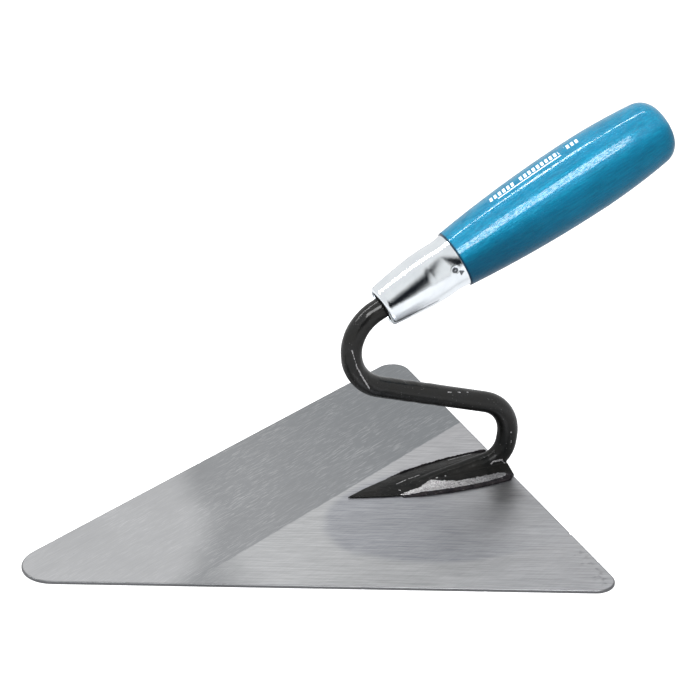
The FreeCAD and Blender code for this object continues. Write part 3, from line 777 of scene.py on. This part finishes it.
def make_weld(node):
    """One weld run: the CAD bead with ripples along it and a blob at its heel end."""
    mesh = skinned_copy(node, node + "_run", 0.15 * MM)
    points = points_of(mesh) / MM
    normals = normals_of(mesh)
    x, y, z = points.T
    phase = x / 1.7 + 0.6 * lumps(points, 6.0, 6)
    ripple = 0.5 + 0.5 * np.cos(2 * math.pi * phase)
    lift = 0.14 * ripple + lumps(points, 1.2, 7) * 0.16 + lumps(points, 3.5, 8) * 0.14
    blob = 1.0 - ramp(np.abs(x - 4.5), 0.5, 4.0)
    lift = (lift + 0.38 * blob) * ramp(z, 1.25, 1.6)
    points = points + normals * lift[:, None]
    taper = 1.0 - 0.75 * ramp(x, 41.0, 50.5)
    points[:, 2] = 1.2 + (points[:, 2] - 1.2) * taper
    points[:, 2] = np.maximum(points[:, 2], 1.2)
    place_points(mesh, points * MM)
    return add_piece(node + "_run", mesh, node, WELD_METAL)



def make_ferrule():
    """The ferrule: the CAD tube turned again with a finer skin, punch dents and a slight swell."""
    segments = 300
    mouth = -33.6 * MM
    hole_radius = 7.2 * MM
    swell_height = 0.20
    lip = [(mouth, hole_radius, degrees) for degrees in range(180, 90, -6)]
    tube = [(along * MM, 0.0, 90.0) for along in np.arange(-33.5, -0.01, 0.3)]
    outside = turned_profile("ferrule", lip + tube + [(-0.01 * MM, 0.0, 90.0)], 0.25 * MM, 0.8 * MM)
    wall = 0.8 * MM
    inside = [(along, max(radius - wall, hole_radius)) for along, radius in outside[::-1]
              if -33.9 * MM < along]
    rings = [tuple(pair) for pair in outside] + inside
    mesh = turned_mesh("ferrule_tube", rings, segments, closed_ring=True)
    points = points_of(mesh)
    along, around, radius = grip_coordinates(points)
    skin = np.zeros(len(points))
    skin[:len(outside) * segments] = 1.0
    along, arc = along / MM, np.radians(around - 76.0) * radius / MM
    reach = np.hypot(along + 4.0, arc)
    pit = 1.0 - ramp(reach, 0.95, 1.55)
    nub = 1.0 - ramp(reach, 0.1, 0.6)
    rim = ramp(reach, 1.35, 1.65) * (1.0 - ramp(reach, 1.65, 2.1))
    wedge_along, wedge_arc = along + 2.1, arc - 2.25
    wedge_edge = np.maximum.reduce([
        -wedge_along, 0.5 * wedge_along + 0.866 * wedge_arc, 0.5 * wedge_along - 0.866 * wedge_arc])
    wedge = 1.0 - ramp(wedge_edge, 0.50, 0.95)
    dent = np.maximum(pit - 0.55 * nub, wedge) * skin
    draw = lumps(np.c_[along / 9.0, arc / 1.4, np.zeros(len(arc))], 1.0, 9) * 0.012
    share = np.clip((along + 33.0) / 20.0, 0.0, 1.0)
    swell = swell_height * 4.0 * share * (1.0 - share)
    move = (-0.40 * dent + 0.08 * rim + draw + swell) * skin * MM
    spokes = points - np.array(SHOULDER) - np.outer(along * MM, GRIP_ALONG)
    spokes /= np.linalg.norm(spokes, axis=1)[:, None]
    place_points(mesh, points + spokes * move[:, None])
    keep_value(mesh, "dent", dent)
    return add_piece("ferrule_tube", mesh, "ferrule", bright_plating())


NICK = (64.5 * MM, 140.0)           # along and around of the small nick on the grip's under side


def make_grip():
    """The grip: the CAD turning again with long grain in its skin, a tenon, a bore and one small nick."""
    segments = 360
    body = [(along * MM, 0.0, 90.0) for along in np.arange(0.05, 90.0, 0.5)]
    butt = [(90.0 * MM, 0.0, degrees) for degrees in np.arange(90.0, 0.0, -1.5)]
    outside = turned_profile("handle", body + butt + [(90.0 * MM, 0.0, 0.0)], 0.52 * MM, 1.6 * MM)
    outside[:, 1] = np.maximum(outside[:, 1], 0.0)
    bore = [(64.0 * MM, 0.0), (64.0 * MM, 1.9 * MM), (-28.0 * MM, 4.3 * MM)]
    tenon = [(-28.0 * MM, 8.28 * MM), (-15.0 * MM, 10.0 * MM), (0.0, 10.0 * MM)]
    edge = [(0.0, 11.9 * MM), (0.12 * MM, 12.12 * MM)]
    rings = bore + tenon + edge + [tuple(p) for p in outside if p[0] > 0.3 * MM and p[1] > 0.2 * MM]
    rings.append((outside[-1][0], 0.0))
    mesh = turned_mesh("grip_turning", rings, segments)
    points = points_of(mesh)
    along, around, radius = grip_coordinates(points)
    skin = ramp(along, 0.2 * MM, 1.5 * MM) * ramp(radius, 1.0 * MM, 5.0 * MM)
    flow = np.c_[along / 0.040, radius * np.cos(np.radians(around)) / 0.0022,
                 radius * np.sin(np.radians(around)) / 0.0022]
    grain = lumps(flow, 1.0, 10) * 0.020 + lumps(flow * 2.4, 1.0, 14) * 0.011
    hand = lumps(points, 0.022, 11) * 0.05
    arc = np.radians(around - NICK[1]) * radius
    nick = 1.0 - ramp(np.hypot((along - NICK[0]) / 1.3, arc) / MM, 0.6, 1.3)
    move = (grain + hand - 0.75 * nick) * skin * MM
    spokes = points - np.array(SHOULDER) - np.outer(along, GRIP_ALONG)
    lengths = np.linalg.norm(spokes, axis=1)
    spokes /= np.maximum(lengths, 1e-9)[:, None]
    place_points(mesh, points + spokes * move[:, None])
    keep_value(mesh, "nick", nick)
    return add_piece("grip_turning", mesh, "handle", lacquered_wood())


# ---------------------------------------------------------------- stage

def make_floor():
    """The table top, a plain sheet just under the trowel."""
    half = 3.0
    drop = -0.15 * MM
    mesh = bpy.data.meshes.new("floor")
    build = bmesh.new()
    signs = ((-1, -1), (1, -1), (1, 1), (-1, 1))
    corners = [build.verts.new((x * half, y * half, drop)) for x, y in signs]
    build.faces.new(corners)
    build.to_mesh(mesh)
    build.free()
    floor = bpy.data.objects.new("floor", mesh)
    bpy.context.scene.collection.objects.link(floor)
    mesh.materials.append(pale_floor())


VIEW_BACK = Vector((0.344919, 0.824417, 0.448740))     # from the trowel towards the camera


def make_room():
    """White surroundings, with one long dim band that leans across the grip line behind the camera."""
    world = bpy.data.worlds.new("room")
    world.use_nodes = True
    bpy.context.scene.world = world
    w = Wiring(world.node_tree)
    background = world.node_tree.nodes["Background"]
    towards = w.node("ShaderNodeTexCoord").outputs["Generated"]
    upper = w.dot(towards, list(GRIP_UPPER))
    left = w.dot(towards, list(GRIP_LEFT))
    around = w.math("DEGREES", w.math("ARCTAN2", left, upper))
    forward = w.math("DEGREES", w.math("ARCSINE", w.dot(towards, list(GRIP_ALONG))))
    above = w.fade(w.plus(around, -38.0, w.times(forward, 1.8)), -3.0, 3.0)
    below = w.fade(w.plus(around, -88.0, w.times(forward, 4.3)), -4.0, 4.0, 1.0, 0.0)
    dim = w.times(above, below, w.window(forward, -34.0, 17.0, 4.0))
    seen = w.node("ShaderNodeLightPath").outputs["Is Camera Ray"]
    dim = w.times(dim, w.inverse(seen))
    around_it = w.mix(seen, (1.0, 1.0, 1.0, 1.0), (1.07, 1.07, 1.07, 1.0))
    w.feed(background, "Color", w.mix(dim, around_it, (0.012, 0.014, 0.018, 1.0)))
    background.inputs["Strength"].default_value = 0.95


def make_lamp(name, around, away, shift, width, length, power):
    """A soft strip lamp beside the grip line: around says on which side, away how far off, and shift how
    far up the line its middle lies."""
    middle = SHOULDER + GRIP_ALONG * shift
    outward = GRIP_UPPER * math.cos(math.radians(around)) + GRIP_LEFT * math.sin(math.radians(around))
    lamp = bpy.data.lights.new(name, "AREA")
    lamp.shape = "RECTANGLE"
    lamp.size = width
    lamp.size_y = length
    lamp.energy = power
    holder = bpy.data.objects.new(name, lamp)
    bpy.context.scene.collection.objects.link(holder)
    holder.location = middle + outward * away
    side = GRIP_ALONG.cross(outward).normalized()
    run = outward.cross(side).normalized()
    turn = Matrix((side, run, outward)).transposed()
    holder.rotation_euler = turn.to_euler()
    return holder


def keep_light_off(lamp, piece):
    """Screens one piece from a lamp, as a studio flag would."""
    flagged = bpy.data.collections.new(lamp.name + " flag")
    flagged.objects.link(piece)
    lamp.light_linking.receiver_collection = flagged
    flagged.collection_objects[0].light_linking.link_state = "EXCLUDE"


def make_camera():
    """The camera: a long lens that looks down on the trowel from its left."""
    lens = bpy.data.cameras.new("camera")
    lens.sensor_width = 36.0
    lens.lens = 125.92
    lens.clip_start = 0.01
    lens.clip_end = 20.0
    roll = math.radians(-0.594)
    level = Vector((0.0, 0.0, 1.0)).cross(VIEW_BACK).normalized()
    rise = VIEW_BACK.cross(level)
    right = math.cos(roll) * level + math.sin(roll) * rise
    upward = math.cos(roll) * rise - math.sin(roll) * level
    camera = bpy.data.objects.new("camera", lens)
    bpy.context.scene.collection.objects.link(camera)
    turn = Matrix((right, upward, VIEW_BACK)).transposed().to_4x4()
    camera.matrix_world = Matrix.Translation((0.40638, 0.80335, 0.50777)) @ turn
    bpy.context.scene.camera = camera


# ---------------------------------------------------------------- the trowel

make_camera()
make_floor()
make_room()
make_lamp("edge strip", -20.0, 1.3, 0.15, 0.07, 1.6, 12.0)
front_strip = make_lamp("front strip", 39.0, 1.3, 0.20, 0.50, 0.90, 19.0)
make_blade()
make_tang()
make_weld("weld_bead_left")
make_weld("weld_bead_right")
keep_light_off(front_strip, make_ferrule())
make_grip()

view_settings = bpy.context.scene.view_settings
view_settings.view_transform = "Standard"
